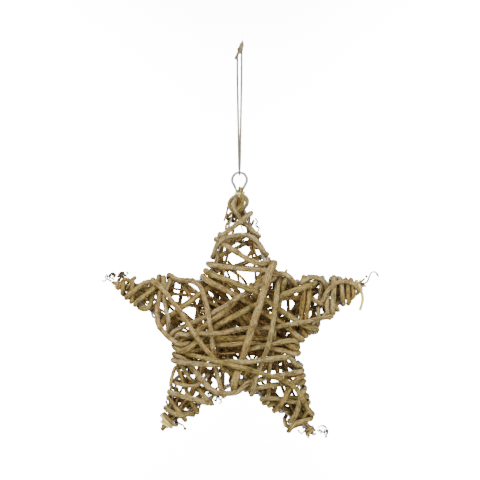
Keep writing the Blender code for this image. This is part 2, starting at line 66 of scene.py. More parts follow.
# The sides of the CAD's tubes, and how exactly their rings are found.
VINE_SIDES = 5
WIRE_SIDES = 6
STICK_SIDES = 7
SAME_PLACE = 0.000004
NO_AREA = 1e-24
END_TRIES = 6
RING_TOLERANCE = 0.00003

VINES = sorted(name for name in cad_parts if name.startswith("vine_"))
TIPS = ("top", "right", "lower_right", "lower_left", "left")


def new_object(name, data):
    made = bpy.data.objects.new(name, data)
    bpy.context.scene.collection.objects.link(made)
    return made


# Camera, first of all.
def make_camera():
    data = bpy.data.cameras.new("photo_camera")
    camera = new_object("photo_camera", data)
    camera.location = (0.0006, -1.5, -0.2185)
    camera.rotation_euler = (math.radians(90), 0, 0)
    data.lens = 96.15
    data.sensor_width = 36
    data.clip_start, data.clip_end = 0.05, 40
    bpy.context.scene.camera = camera


make_camera()


# Small vector helpers.
def unit(vectors):
    length = norm(vectors, axis=-1, keepdims=True)
    return vectors / np.maximum(length, 1e-12)


def lengths_along(points):
    return np.concatenate([[0], np.cumsum(norm(np.diff(points, axis=0), axis=1))])


def spot(x, z, y=0.0):
    """A place given in millimetres from the star's centre, y less than 0 in front."""
    return np.array([x * MM, y * MM, STAR_Z + z * MM])


def place_at(angle, reach):
    """A place in the star's plane, at that angle and distance from its centre."""
    return STAR_CENTRE + reach * np.array([math.cos(angle), 0, math.sin(angle)])


def vertices_of(name):
    return np.array([v.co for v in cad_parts[name].data.vertices])


# Reading a CAD tube: its ring centres and radii, from one end to the other.
def rings_of(name, sides):
    raw = vertices_of(name)
    apart = norm(raw[:, None] - raw[None], axis=2)
    first = (apart < SAME_PLACE).argmax(axis=1)
    used, which = np.unique(first, return_inverse=True)
    places = raw[used]
    beside = [set() for _ in used]
    triangles = []
    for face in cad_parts[name].data.polygons:
        corners = [int(which[v]) for v in face.vertices]
        triangles.append(corners)
        for a, b in zip(corners, corners[1:] + corners[:1]):
            beside[a].add(b)
            beside[b].add(a)

    def levels(start):
        found, wave, order = set(start), list(start), []
        while wave:
            order.append(wave)
            wave = sorted({b for a in wave for b in beside[a]} - found)
            found |= set(wave)
        return order

    def cap_at(vertex):
        """The end ring that the vertex is on: the circle round one of its triangles holds the ring."""
        for corners in triangles:
            if vertex not in corners:
                continue
            a, b, c = places[corners[:3]]
            ab, ac = b - a, c - a
            normal = np.cross(ab, ac)
            size = normal @ normal
            if size < NO_AREA:
                continue
            centre = a + (np.cross(normal, ab) * (ac @ ac) + np.cross(ac, normal) * (ab @ ab)) / (2 * size)
            radius = norm(centre - a)
            away = norm(places - centre, axis=1)
            flat = np.abs((places - centre) @ (normal / math.sqrt(size))) < RING_TOLERANCE
            ring = np.nonzero((np.abs(away - radius) < RING_TOLERANCE) & flat)[0]
            if len(ring) == sides:
                return ring.tolist()
        return None

    start = 0
    for _ in range(END_TRIES):
        start = levels([start])[-1][0]
        end = cap_at(start)
        if end:
            break
    rings = [places[ring] for ring in levels(end)]
    centres = np.array([ring.mean(axis=0) for ring in rings])
    radii = np.array([norm(ring - ring.mean(axis=0), axis=1).mean() for ring in rings])
    return centres, radii


def tip_line(number):
    """An arm's tip and its outward direction, from the CAD's core stick."""
    centres, _ = rings_of("core_stick_" + TIPS[number], STICK_SIDES)
    if norm(centres[0] - STAR_CENTRE) > norm(centres[-1] - STAR_CENTRE):
        centres = centres[::-1]
    axis = unit(centres[-1] - centres[0])
    return centres[0] + axis * STICK_INSIDE, axis


def between(t, start, end, a, b):
    """The value at t on the line through a at the start and b at the end."""
    return (end - t) / (end - start) * a + (t - start) / (end - start) * b


def smooth_line(points, radii, step):
    """A smooth curve through the points, with its radii, in steps of about the given length."""
    points = np.asarray(points, float)
    radii = np.broadcast_to(radii, len(points)).astype(float)
    knots = norm(np.diff(points, axis=0), axis=1) ** 0.5
    padded = np.concatenate([[2 * points[0] - points[1]], points, [2 * points[-1] - points[-2]]])
    knots = np.concatenate([[knots[0]], knots, [knots[-1]]])
    fine, thick = [], []
    for i in range(len(points) - 1):
        p0, p1, p2, p3 = padded[i:i + 4]
        t0, t1, t2, t3 = 0.0, *np.cumsum(knots[i:i + 3])
        count = max(2, round(norm(p2 - p1) / (step * 0.5)))
        t = np.linspace(t1, t2, count, endpoint=i == len(points) - 2)[:, None]
        a1 = between(t, t0, t1, p0, p1)
        a2 = between(t, t1, t2, p1, p2)
        a3 = between(t, t2, t3, p2, p3)
        b1 = between(t, t0, t2, a1, a2)
        b2 = between(t, t1, t3, a2, a3)
        fine.append(between(t, t1, t2, b1, b2))
        thick.append(between(t[:, 0], t1, t2, radii[i], radii[i + 1]))
    fine, thick = np.concatenate(fine), np.concatenate(thick)
    along = lengths_along(fine)
    at = np.linspace(0, along[-1], max(4, round(along[-1] / step) + 1))
    line = np.stack([np.interp(at, along, fine[:, axis]) for axis in range(3)], axis=1)
    return line, np.interp(at, along, thick)


def carried_frames(line):
    """Two unit vectors across the line at each of its points, carried along it without twisting."""
    along = unit(np.gradient(line, axis=0))
    side = np.cross(along[0], (0, 1, 0) if abs(along[0][1]) < 0.9 else (1, 0, 0))
    sides = []
    for direction in along:
        side = side - direction * (side @ direction)
        side = side / norm(side)
        sides.append(side)
    sides = np.array(sides)
    return sides, np.cross(along, sides)


def around(angle, right, up):
    """Unit vectors across a line, turned from right towards up by the angle or by each of the angles."""
    angle = np.asarray(angle)[..., None]
    return np.cos(angle) * right + np.sin(angle) * up


def hand_line(points, step):
    """A smooth line through points given as (x, z, depth) in millimetres from the star's centre."""
    return smooth_line([spot(*point) for point in points], MM, step)[0]


def drift(rng, count, step, wavelength):
    """A smooth random value between about -1 and 1 along a line."""
    knots = max(4, int(count * step / wavelength) + 4)
    values = rng.uniform(-1, 1, knots)
    at = np.linspace(1, knots - 2.001, count)
    k = at.astype(int)
    t = at - k
    t = t * t * (3 - 2 * t)
    return values[k] * (1 - t) + values[k + 1] * t


# Bark in metres: the joints' places and widths, the bud on each, and how the ridges wander.
FIRST_JOINT = (0.008, 0.030)
JOINT_GAP = (0.024, 0.056)
JOINT_WIDTH = (0.0020, 0.0034)
BUD_LENGTH = 0.0016
BUD_ANGLE = 0.55
RIDGE_WAVES = ((2, 1.0), (3, 1.1), (5, 0.9), (7, 0.7))
RIDGE_TURN_LENGTH = 0.026
RIDGE_HEIGHT_LENGTH = 0.014
GRAIN = 0.45
THICKNESS_DRIFT = 0.055
THICKNESS_LENGTH = 0.012
CUT_END = 0.90


def joints_along(rng, steps, angles, joints):
    """How much the shoot swells at its joints, and the buds that stand out at one side of each."""
    swell = np.zeros(len(steps))
    buds = np.zeros((len(steps), len(angles)))
    at = rng.uniform(*FIRST_JOINT)
    while at < steps[-1]:
        width = rng.uniform(*JOINT_WIDTH)
        swell += np.exp(-(((steps - at) / width) ** 2)) * rng.uniform(0.6, 1.0)
        facing = rng.uniform(0, TURN)
        tall = rng.uniform(0.5, 2.2) * joints
        aside = (angles - facing + math.pi) % TURN - math.pi
        past = steps - at - width * 0.5
        buds += tall * np.exp(-((past / BUD_LENGTH) ** 2))[:, None] * np.exp(-((aside / BUD_ANGLE) ** 2))
        at += rng.uniform(*JOINT_GAP)
    return swell, buds


def ridges_along(rng, count, step, angles):
    """Ridges that wander round the shoot and come and go, with a fine grain over them."""
    height = np.zeros((count, len(angles)))
    for waves, amount in RIDGE_WAVES:
        phase = 2.4 * drift(rng, count, step, RIDGE_TURN_LENGTH) + rng.uniform(0, 6.3)
        strength = 0.6 + 0.4 * drift(rng, count, step, RIDGE_HEIGHT_LENGTH)
        height += amount * strength[:, None] * np.cos(waves * angles[None] + phase[:, None])
    return height + rng.normal(0, 1, height.shape) * GRAIN


class Sweep:
    """Collects tubes into one mesh, and where each point lies along and round its shoot."""

    def __init__(self):
        self.verts, self.faces, self.finish = [], [], []
        self.bark, self.tint, self.knob = [], [], []
        self.count = 0

    def add_rings(self, rings, bark, tint, knob, closed=False):
        rows, sides = rings.shape[:2]
        base = self.count
        self.verts.append(rings.reshape(-1, 3))
        self.bark.append(bark.reshape(-1, 3))
        self.tint.append(np.full(rows * sides, tint))
        self.knob.append(np.repeat(knob, sides))
        self.count += rows * sides
        k = np.arange(sides)
        after = (k + 1) % sides
        for row in range(rows if closed else rows - 1):
            a, b = base + row * sides, base + ((row + 1) % rows) * sides
            self.faces += np.stack([a + k, b + k, b + after, a + after], axis=1).tolist()
            self.finish += [0] * sides
        if closed:
            return
        last = base + (rows - 1) * sides + k
        self.faces += [(base + k).tolist(), last[::-1].tolist()]
        self.finish += [1, 1]

    def add(self, line, radii, sides, rng, tint=0.0, ridges=0.0, joints=0.0, cut=True):
        """A shoot along the line, with bark ridges and swollen joints."""
        count = len(line)
        steps = lengths_along(line)
        step = steps[-1] / max(count - 1, 1)
        right, up = carried_frames(line)
        radii = np.array(radii, float)
        angles = TURN * np.arange(sides) / sides
        knob = np.zeros(count)
        shape = np.ones((count, sides))
        if joints:
            knob, buds = joints_along(rng, steps, angles, joints)
            shape += buds
            drifting = drift(rng, count, step, THICKNESS_LENGTH)
            radii = radii * (1 + joints * knob) * (1 + THICKNESS_DRIFT * drifting)
        if ridges:
            shape += ridges * ridges_along(rng, count, step, angles)
        if cut:
            shape[[0, -1]] *= CUT_END
        reach = radii[:, None] * shape
        rings = line[:, None] + reach[..., None] * around(angles, right[:, None], up[:, None])
        start = rng.uniform(0, 900)
        bark = np.empty((count, sides, 3))
        bark[..., 0] = np.cos(angles) * radii[:, None] / MM
        bark[..., 1] = np.sin(angles) * radii[:, None] / MM
        bark[..., 2] = steps[:, None] / MM + start
        self.add_rings(rings, bark, tint, knob)

    def ball(self, centre, radius, rng, tint=0.0):
        """A small lump, such as a dried bud."""
        share = np.linspace(-0.95, 0.95, 6)
        line = centre + radius * share[:, None] * [0.2, 0.1, 1.0]
        wide = radius * np.sqrt(np.maximum(1 - share ** 2, 0.02))
        self.add(line, wide, 8, rng, tint, ridges=0.05, cut=False)

    def build(self, name, finishes, slot, *nodes):
        """A piece that rides on the star, takes those finishes and stands for those CAD nodes; the slot is
        not used.
        """
        mesh = bpy.data.meshes.new(name)
        mesh.from_pydata(np.concatenate(self.verts).tolist(), [], self.faces)
        for finish in finishes:
            mesh.materials.append(finish)
        if len(finishes) > 1:
            mesh.polygons.foreach_set("material_index", self.finish)
        for label, kind, key, values in (
            ("bark", "FLOAT_VECTOR", "vector", self.bark),
            ("tint", "FLOAT", "value", self.tint),
            ("knob", "FLOAT", "value", self.knob),
        ):
            layer = mesh.attributes.new(label, kind, "POINT")
            layer.data.foreach_set(key, np.concatenate(values).astype(np.float32).ravel())
        mesh.shade_smooth()
        mesh.set_sharp_from_angle(angle=math.radians(55))
        mesh.update()
        piece = new_object(name, mesh)
        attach(piece, "root")
        if nodes:
            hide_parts(*nodes)
        return piece


# Materials. Dry bark and jute shine less than the shader's own 0.5.
DRY_SHINE = 0.26


class Graph:
    """A short way to write a node tree."""

    def __init__(self, name):
        self.material = bpy.data.materials.new(name)
        self.material.use_nodes = True
        self.tree = self.material.node_tree
        self.shader = self.tree.nodes["Principled BSDF"]

    def put(self, kind, settings=None, **inputs):
        node = self.tree.nodes.new(kind)
        for key, value in (settings or {}).items():
            setattr(node, key, value)
        for key, value in inputs.items():
            self.feed(node.inputs[key.replace("_", " ")], value)
        return node

    def feed(self, socket, value):
        if isinstance(value, bpy.types.NodeSocket):
            self.tree.links.new(value, socket)
        else:
            socket.default_value = value

    def attribute(self, name, output="Fac"):
        return self.put("ShaderNodeAttribute", {"attribute_name": name}).outputs[output]

    def scaled(self, vector, scale):
        return self.put("ShaderNodeMapping", Vector=vector, Scale=scale).outputs["Vector"]

    def noise(self, vector, scale, detail=3.0, rough=0.6, twist=0.0):
        made = self.put("ShaderNodeTexNoise", Vector=vector, Scale=scale, Detail=detail, Roughness=rough)
        self.feed(made.inputs["Distortion"], twist)
        return made.outputs["Fac"]

    def ramp(self, factor, *stops):
        node = self.put("ShaderNodeValToRGB", Fac=factor)
        elements = node.color_ramp.elements
        while len(elements) < len(stops):
            elements.new(0.5)
        for element, (place, colour) in zip(elements, stops):
            element.position = place
            element.color = (*colour, 1)
        return node.outputs["Color"]

    def ramp_value(self, factor, low, high):
        """0 below low, 1 above high."""
        smooth = {"interpolation_type": "SMOOTHSTEP"}
        node = self.put("ShaderNodeMapRange", smooth, Value=factor, From_Min=low, From_Max=high)
        return node.outputs["Result"]

    def mix(self, factor, a, b, blend="MIX"):
        node = self.put("ShaderNodeMix", {"data_type": "RGBA", "blend_type": blend})
        for place, value in ((0, factor), (6, a), (7, b)):
            self.feed(node.inputs[place], (*value, 1) if isinstance(value, tuple) else value)
        return node.outputs[2]

    def maths(self, operation, a, b):
        node = self.put("ShaderNodeMath", {"operation": operation})
        self.feed(node.inputs[0], a)
        self.feed(node.inputs[1], b)
        return node.outputs[0]

    def plus(self, a, b):
        return self.maths("ADD", a, b)

    def times(self, a, b):
        return self.maths("MULTIPLY", a, b)

    def bump(self, height, strength, distance):
        node = self.put("ShaderNodeBump", Height=height, Strength=strength, Distance=distance)
        self.feed(self.shader.inputs["Normal"], node.outputs["Normal"])

    def finish(self, colour, roughness, metallic=0.0, shine=0.5):
        self.shader.inputs["Specular IOR Level"].default_value = shine
        self.feed(self.shader.inputs["Base Color"], colour)
        self.feed(self.shader.inputs["Roughness"], roughness)
        self.feed(self.shader.inputs["Metallic"], metallic)
        return self.material


def bark_material(name, dark, middle, light, patch, fleck, relief=1.0):
    """Dry bark: streaks and blotches along the shoot, greyer patches, dark flecks and joints."""
    g = Graph(name)
    where = g.attribute("bark", "Vector")
    tint = g.attribute("tint")
    streak = g.noise(g.scaled(where, (1.0, 1.0, 0.09)), 0.95, 5.0, 0.68, 0.4)
    fine = g.noise(g.scaled(where, (1.0, 1.0, 0.16)), 3.4, 4.0, 0.6)
    broad = g.noise(g.scaled(where, (0.5, 0.5, 0.10)), 0.55, 2.0, 0.5)
    blotch = g.noise(g.scaled(where, (0.9, 0.9, 0.40)), 0.60, 4.0, 0.7, 0.6)
    flecks = g.noise(g.scaled(where, (1.0, 1.0, 0.60)), 1.2, 3.0, 0.65)
    base = g.ramp(streak, (0.36, dark), (0.46, middle), (0.56, light), (0.70, patch))
    greyer = g.mix(g.times(g.ramp_value(broad, 0.50, 0.66), 0.50), base, patch)
    darker = g.mix(g.times(g.ramp_value(blotch, 0.50, 0.62), 0.72), greyer, dark)
    fibres = g.mix(g.ramp_value(fine, 0.35, 0.75), darker, (1.30, 1.26, 1.18), "MULTIPLY")
    specks = g.mix(g.times(g.ramp_value(flecks, 0.56, 0.64), 0.85), fibres, fleck)
    joints = g.mix(g.times(g.attribute("knob"), 0.60), specks, dark)
    lighter = g.put("ShaderNodeHueSaturation", Color=joints)
    g.feed(lighter.inputs["Value"], g.plus(1.0, g.times(tint, 0.14)))
    g.feed(lighter.inputs["Saturation"], g.plus(1.0, g.times(tint, -0.08)))
    height = g.plus(streak, g.times(fine, 0.5))
    height = g.maths("SUBTRACT", height, g.times(g.ramp_value(flecks, 0.53, 0.66), 0.4))
    g.bump(height, 0.90 * relief, 0.0010)
    rough = g.plus(0.62, g.times(broad, 0.33))
    return g.finish(lighter.outputs["Color"], rough, shine=DRY_SHINE)


def zinc_material():
    g = Graph("galvanised_zinc")
    where = g.put("ShaderNodeTexCoord").outputs["Object"]
    spangle = g.put("ShaderNodeTexVoronoi", Vector=where, Scale=900.0).outputs["Distance"]
    dull = g.noise(where, 260.0, 4.0, 0.6)
    colour = g.mix(g.ramp_value(dull, 0.35, 0.7), (0.22, 0.22, 0.22), (0.36, 0.365, 0.37))
    colour = g.mix(g.times(spangle, 0.3), colour, (0.52, 0.52, 0.51))
    g.bump(dull, 0.10, 0.0002)
    return g.finish(colour, g.plus(0.44, g.times(dull, 0.25)), 0.75)


def cut_material():
    g = Graph("cut_end")
    where = g.put("ShaderNodeTexCoord").outputs["Object"]
    grain = g.noise(where, 1900.0, 3.0, 0.7)
    colour = g.mix(grain, (0.16, 0.09, 0.035), (0.50, 0.38, 0.20))
    g.bump(grain, 0.4, 0.0003)
    return g.finish(colour, 0.85)


def cane_material(name, dark, middle, light, stained):
    """Split cane: fine fibres along the strip, stained here and there, with a little of its own shine."""
    g = Graph(name)
    where = g.attribute("bark", "Vector")
    fibre = g.noise(g.scaled(where, (2.2, 2.2, 0.08)), 2.0, 5.0, 0.6)
    stain = g.noise(g.scaled(where, (0.6, 0.6, 0.2)), 1.2, 2.0, 0.5)
    colour = g.ramp(fibre, (0.28, dark), (0.48, middle), (0.75, light))
    colour = g.mix(g.times(g.ramp_value(stain, 0.52, 0.72), 0.6), colour, stained)
    g.bump(fibre, 0.4, 0.0003)
    g.shader.inputs["Coat Weight"].default_value = 0.08
    g.shader.inputs["Coat Roughness"].default_value = 0.35
    return g.finish(colour, g.plus(0.42, g.times(fibre, 0.25)))


def jute_material():
    g = Graph("jute_fibre")
    where = g.attribute("bark", "Vector")
    fibre = g.noise(g.scaled(where, (1.0, 1.0, 0.35)), 6.0, 5.0, 0.7)
    broad = g.noise(g.scaled(where, (1.0, 1.0, 0.25)), 0.8, 2.0, 0.5)
    dark, middle, light = (0.075, 0.055, 0.030), (0.19, 0.15, 0.090), (0.33, 0.275, 0.175)
    colour = g.ramp(fibre, (0.30, dark), (0.50, middle), (0.72, light))
    colour = g.mix(g.times(broad, 0.4), colour, (0.23, 0.20, 0.14))
    darker = g.put("ShaderNodeHueSaturation", Color=colour)
    g.feed(darker.inputs["Value"], g.plus(1.0, g.times(g.attribute("tint"), 0.30)))
    g.bump(fibre, 0.7, 0.0004)
    g.shader.inputs["Sheen Weight"].default_value = 0.06
    g.shader.inputs["Sheen Roughness"].default_value = 0.5
    return g.finish(darker.outputs["Color"], 0.92, shine=DRY_SHINE)


BARK = bark_material(
    "vine_bark", (0.082, 0.048, 0.013), (0.250, 0.163, 0.046), (0.415, 0.300, 0.099),
    (0.480, 0.372, 0.153), (0.040, 0.021, 0.005),
)
OLIVE = bark_material(
    "green_bark", (0.076, 0.051, 0.014), (0.230, 0.166, 0.050), (0.385, 0.296, 0.102),
    (0.450, 0.366, 0.154), (0.036, 0.022, 0.006),
)
GREY = bark_material(
    "grey_bark", (0.078, 0.049, 0.018), (0.236, 0.164, 0.060), (0.400, 0.302, 0.120),
    (0.470, 0.376, 0.176), (0.038, 0.022, 0.007),
)
HEART = bark_material(
    "red_shoot", (0.095, 0.042, 0.011), (0.265, 0.140, 0.040), (0.400, 0.240, 0.080),
    (0.400, 0.262, 0.102), (0.038, 0.017, 0.006), 0.7,
)
# Brown shoots for the star's inside: a brown of their own, and darker than the outer bark as painted shade
# for the shaded inside of the star.
BROWN_DARKENED_AS_SHADE = bark_material(
    "brown_shoot_painted_shade", (0.075, 0.042, 0.012), (0.215, 0.136, 0.040), (0.345, 0.238, 0.080),
    (0.375, 0.276, 0.110), (0.030, 0.016, 0.005), 0.8,
)
TENDRIL = bark_material(
    "dry_tendril", (0.034, 0.022, 0.012), (0.085, 0.060, 0.035), (0.150, 0.110, 0.066),
    (0.185, 0.145, 0.095), (0.020, 0.012, 0.007), 0.6,
)
CUT = cut_material()
ZINC = zinc_material()
CANE = cane_material(
    "split_cane", (0.50, 0.36, 0.105), (0.80, 0.62, 0.17), (0.90, 0.76, 0.28), (0.46, 0.31, 0.09)
)
BROWN_CANE = cane_material(
    "brown_cane", (0.16, 0.088, 0.018), (0.34, 0.215, 0.052), (0.50, 0.355, 0.110), (0.15, 0.088, 0.024)
)
JUTE = jute_material()


# Hanging string: three plies twisted round its route, with the knot, its ends and loose fibres. A ply's
# radius and its distance from the middle are shares of the string's radius.
STRING_RADIUS = 0.00095
PLY_PITCH = 0.0052
PLY_RADIUS = 0.58
PLY_OFFSET = 0.55
STRING_FULLNESS = 1.22
RISE_FULLNESS = 1.15
WRAP_FULLNESS = 1.30
STRING_STEP = 0.0005
FUZZ_HAIRS = 240
HAIR_STEP = 0.0006
HAIR_THICK = 0.00008

# The route's points are those of part.py, in metres: its left half, from the knot down to the eye's wire,
# then the bend under that wire. The right half is the left one turned half round.
LEFT_STRAND = (
    (-0.0024, 0.0, 0.000136), (-0.00252, 0.0, -0.01942), (-0.00192, 0.00026, -0.05853),
    (-0.00108, 0.0013, -0.10463), (-0.00048, 0.0026, -0.13257),
)
BEND_Z = -0.13955
BEND_RADIUS = 0.0026
BEND_PARTS = 6


def string_route():
    under = []
    for part in range(BEND_PARTS + 1):
        angle = math.pi * part / BEND_PARTS
        under.append((0, BEND_RADIUS * math.cos(angle), BEND_Z - BEND_RADIUS * math.sin(angle)))
    right_strand = [(-x, -y, z) for x, y, z in reversed(LEFT_STRAND)]
    return np.array([*LEFT_STRAND, *under, *right_strand], float)


def twisted(sweep, line, radius, rng, sides=9, phase=0.0, tint=0.0):
    """Three plies twisted round the line, which together are about the radius thick."""
    steps = lengths_along(line)
    right, up = carried_frames(line)
    radius = np.broadcast_to(radius, len(line))
    for ply in range(3):
        turn = TURN * (steps / PLY_PITCH + ply / 3) + phase
        wide = radius * PLY_RADIUS * (1 + 0.06 * drift(rng, len(line), steps[-1] / len(line), 0.004))
        route = line + (radius * PLY_OFFSET)[:, None] * around(turn, right, up)
        sweep.add(route, wide, sides, rng, tint=tint + rng.uniform(-0.5, 0.5), ridges=0.05, cut=False)


def make_fuzz(rng, line):
    """Loose fibres that stand out from the string."""
    fuzz = Sweep()
    right, up = carried_frames(line)
    for _ in range(FUZZ_HAIRS):
        k = int(rng.integers(6, len(line) - 6))
        out = around(rng.uniform(0, TURN), right[k], up[k])
        along = unit(line[k + 3] - line[k])
        reach = rng.uniform(0.0005, 0.0016)
        points = [
            line[k] + out * STRING_RADIUS * 0.7,
            line[k] + out * (STRING_RADIUS + 0.4 * reach) + along * rng.uniform(-0.6, 1.0) * reach,
            line[k] + out * (STRING_RADIUS + reach) + along * rng.uniform(-1.6, 2.4) * reach,
        ]
        hair, _ = smooth_line(points, HAIR_THICK, HAIR_STEP)
        fuzz.add(hair, np.linspace(0.00007, 0.00003, len(hair)), 3, rng, cut=False)
    return fuzz.build("string_fibres", [JUTE], "jute")


def make_string():
    rng = default_rng(11)
    route, radius = string_route(), STRING_RADIUS
    line, _ = smooth_line(route, radius, STRING_STEP)
    sweep = Sweep()
    twisted(sweep, line, radius * STRING_FULLNESS, rng)
    string = sweep.build("jute_string", [JUTE], "jute", "hanging_string")
    fibres = make_fuzz(rng, line)
    knot = make_knot(rng, route[0], route[-1])
    ends = make_ends(rng)
    length = float(lengths_along(line)[-1])


# The knot, (x, z, depth) in mm from the origin: both strands run up into it, and one cord winds round them.
LEFT_RISE = ((-1.7, 1.6, 0.2), (-0.1, 3.4, 0.4), (0.7, 6.4, 0.6))
RIGHT_RISE = ((2.4, 2.0, 0.0), (1.9, 4.2, -0.3), (1.8, 7.0, -0.4))
KNOT_WRAP = (
    (-4.8, -7.3, -1.4), (-4.1, -4.2, -2.2), (-2.2, -1.8, -2.6), (0.0, 0.2, -2.6), (2.0, 1.8, -1.6),
    (2.8, 3.2, 0.6), (1.0, 3.6, 2.0), (-1.3, 3.4, 0.8), (-1.7, 5.0, -0.9), (-0.2, 6.2, -1.9),
    (1.8, 5.2, -1.8), (3.2, 4.2, -0.2), (1.6, 2.8, 1.7), (-0.6, 2.2, 1.2),
)

# The bundle of cut cord above it: its line, how far its cords stand apart and how thick they are, in mm.
TAIL_LINE = ((0.9, 2.0, 0.0), (1.3, 4.8, 0.0), (2.5, 9.4, -0.2), (3.5, 13.9, -0.3))
TAIL_SPREAD = (0.4, 1.2, 2.0, 0.5)
TAIL_THICK = (1.0, 1.15, 1.15, 0.6)
TAIL_CORDS = 6


def from_origin(places):
    return [np.array([x, y, z]) * MM for x, z, y in places]


def make_knot(rng, left, right):
    """The knot tied in both strands."""
    sweep = Sweep()
    for strand, rise in ((left, LEFT_RISE), (right, RIGHT_RISE)):
        line, _ = smooth_line([strand + [0, 0, -0.0004], *from_origin(rise)], STRING_RADIUS, STRING_STEP)
        twisted(sweep, line, STRING_RADIUS * RISE_FULLNESS, rng, sides=8)
    line, _ = smooth_line(from_origin(KNOT_WRAP), STRING_RADIUS, STRING_STEP)
    twisted(sweep, line, STRING_RADIUS * WRAP_FULLNESS, rng, sides=8, tint=0.2)
    return sweep.build("jute_knot", [JUTE], "jute", "string_knot", "string_end_short")


def make_ends(rng):
    """The bundle of cut cord that stands up from the knot, frayed at its top."""
    tails = Sweep()
    middle, spread = smooth_line(from_origin(TAIL_LINE), np.array(TAIL_SPREAD) * MM, STRING_STEP)
    _, thick = smooth_line(from_origin(TAIL_LINE), np.array(TAIL_THICK) * MM, STRING_STEP)
    across, over = carried_frames(middle)
    for cord in range(TAIL_CORDS):
        angle = TURN * cord / TAIL_CORDS + np.linspace(0, 0.9, len(middle))
        line = middle + spread[:, None] * around(angle, across, over)
        twisted(tails, line, thick * rng.uniform(0.9, 1.08), rng, sides=8, phase=cord, tint=1.3)
    way = unit(middle[-1] - middle[-6])
    for end, count in ((middle[-1], 30), (middle[-12], 24)):
        for _ in range(count):
            hair_way = way * 0.0012 + rng.normal(0, 0.0008, 3)
            points = [end - hair_way * 0.3, end + hair_way * 0.4, end + hair_way]
            hair, _ = smooth_line(points, HAIR_THICK, STRING_STEP)
            tails.add(hair, np.full(len(hair), HAIR_THICK), 3, rng, cut=False)
    return tails.build("jute_ends", [JUTE], "jute", "string_end_long")


make_string()


# Vines, each rebuilt along its CAD tube.
RING_STEP = 0.0017
BARK_RADIUS_GAIN = 0.00022
WANDER = 0.00035
WANDER_LENGTH = 0.016
CALM_RINGS = 6
VINE_FINISHES = (BARK, OLIVE, BARK, GREY, OLIVE)


def make_vines():
    for number, name in enumerate(VINES):
        rng = default_rng(100 + number)
        centres, radii = rings_of(name, VINE_SIDES)
        line, wide = smooth_line(centres, radii, RING_STEP)
        rings = np.arange(len(line))
        calm = np.minimum(1, np.minimum(rings, rings[::-1]) / CALM_RINGS)[:, None]
        for way in carried_frames(line):
            line = line + WANDER * calm * drift(rng, len(line), RING_STEP, WANDER_LENGTH)[:, None] * way
        sweep = Sweep()
        tint = rng.uniform(-1, 1)
        sweep.add(line, wide + BARK_RADIUS_GAIN, 18, rng, tint=tint, ridges=0.030, joints=0.12)
        finish = VINE_FINISHES[number % len(VINE_FINISHES)]
        sweep.build("bark_" + name[5:], [finish, CUT], "bark", name)


make_vines()


# Wire frame, with a bead of weld where the posts meet the stars.
WIRE_RADIUS = 0.0010
WIRE_RINGS = 420
WIRE_BEND = 0.0035
WIRE_WAVER = 0.0003
WAVER_LENGTH = 0.021
POST_PAST_END = 0.0013
WELD_RADIUS = 0.0019
NEAR_CORNER = math.radians(4)


def make_wires():
    rng = default_rng(5)
    sweep = Sweep()
    stars = ["wire_star_front", "wire_star_back"]
    for name in stars:
        sweep_closed(sweep, name)
    posts = sorted(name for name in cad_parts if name.startswith("wire_post_"))
    for name in posts:
        centres, radii = rings_of(name, WIRE_SIDES)
        reach = unit(centres[-1] - centres[0]) * POST_PAST_END
        ends = np.array([centres[0] - reach, centres.mean(axis=0), centres[-1] + reach])
        line, wide = smooth_line(ends, radii.mean(), 0.002)
        sweep.add(line, wide, 10, rng, cut=False)
        for end in (ends[0], ends[-1]):
            sweep.ball(end, WELD_RADIUS, rng)
    sweep.build("wire_frame", [ZINC], "wire", *stars, *posts)


def star_corners(raw):
    """The ten corners of a wire star, from its vertices round the star's centre."""
    flat = raw[:, [0, 2]] - [0, STAR_Z]
    turn = np.arctan2(flat[:, 0], flat[:, 1])
    corners = []
    for index in range(10):
        aside = (turn - math.radians(36 * index) + math.pi) % TURN - math.pi
        group = raw[np.abs(aside) < NEAR_CORNER]
        corners.append((group.min(axis=0) + group.max(axis=0)) / 2)
    return corners


def sweep_closed(sweep, name):
    """A closed star of wire through the corners of the CAD's, each of them bent and not sharp."""
    raw = vertices_of(name)
    side = -1 if raw[:, 1].mean() < 0 else 1
    points = star_corners(raw)
    loop = []
    for index in range(10):
        a, b, c = points[index - 1], points[index], points[(index + 1) % 10]
        before, after = unit(a - b) * WIRE_BEND, unit(c - b) * WIRE_BEND
        loop += [b + before, b + (before + after) * 0.25, b + after]
    loop = np.array(loop + loop[:1])
    steps = lengths_along(loop)
    at = np.linspace(0, steps[-1], WIRE_RINGS, endpoint=False)
    line = np.stack([np.interp(at, steps, loop[:, axis]) for axis in range(3)], axis=1)
    line = (np.roll(line, 1, axis=0) + line * 2 + np.roll(line, -1, axis=0)) / 4
    line[:, 1] += WIRE_WAVER * np.sin(at / WAVER_LENGTH + side)
    along = unit(np.roll(line, -1, axis=0) - np.roll(line, 1, axis=0))
    outward = unit(line - np.array([0, line[:, 1].mean(), STAR_Z]))
    right = unit(np.cross(along, outward))[:, None]
    angles = TURN * np.arange(10) / 10
    rings = line[:, None] + WIRE_RADIUS * around(angles, right, np.cross(right, along[:, None]))
    sweep.add_rings(rings, np.zeros(rings.shape), 0.0, np.zeros(len(line)), closed=True)


make_wires()


# The eye's wire: how much thicker it is drawn above the binding, and less so where the string hangs in it.
EYE_THICKER = 0.50
EYE_UNDER_STRING = 0.22


def make_eye():
    rng = default_rng(6)
    centres, radii = rings_of("hanging_eye", WIRE_SIDES)
    line, wide = smooth_line(centres, radii, 0.0008)
    above = np.clip((line[:, 2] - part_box("tip_binding_top")[1][2]) / 0.004, 0, 1)
    under_string = np.clip(1 - np.abs(line[:, 0]) / 0.005, 0, 1) * above
    sweep = Sweep()
    wide = wide * (1 + EYE_THICKER * above - EYE_UNDER_STRING * under_string)
    sweep.add(line, wide, 14, rng, cut=False)
    sweep.build("eye_wire", [ZINC], "wire", "hanging_eye")


make_eye()


# Core sticks and cane bindings at the tips.
TIP_LINES = [tip_line(number) for number in range(5)]

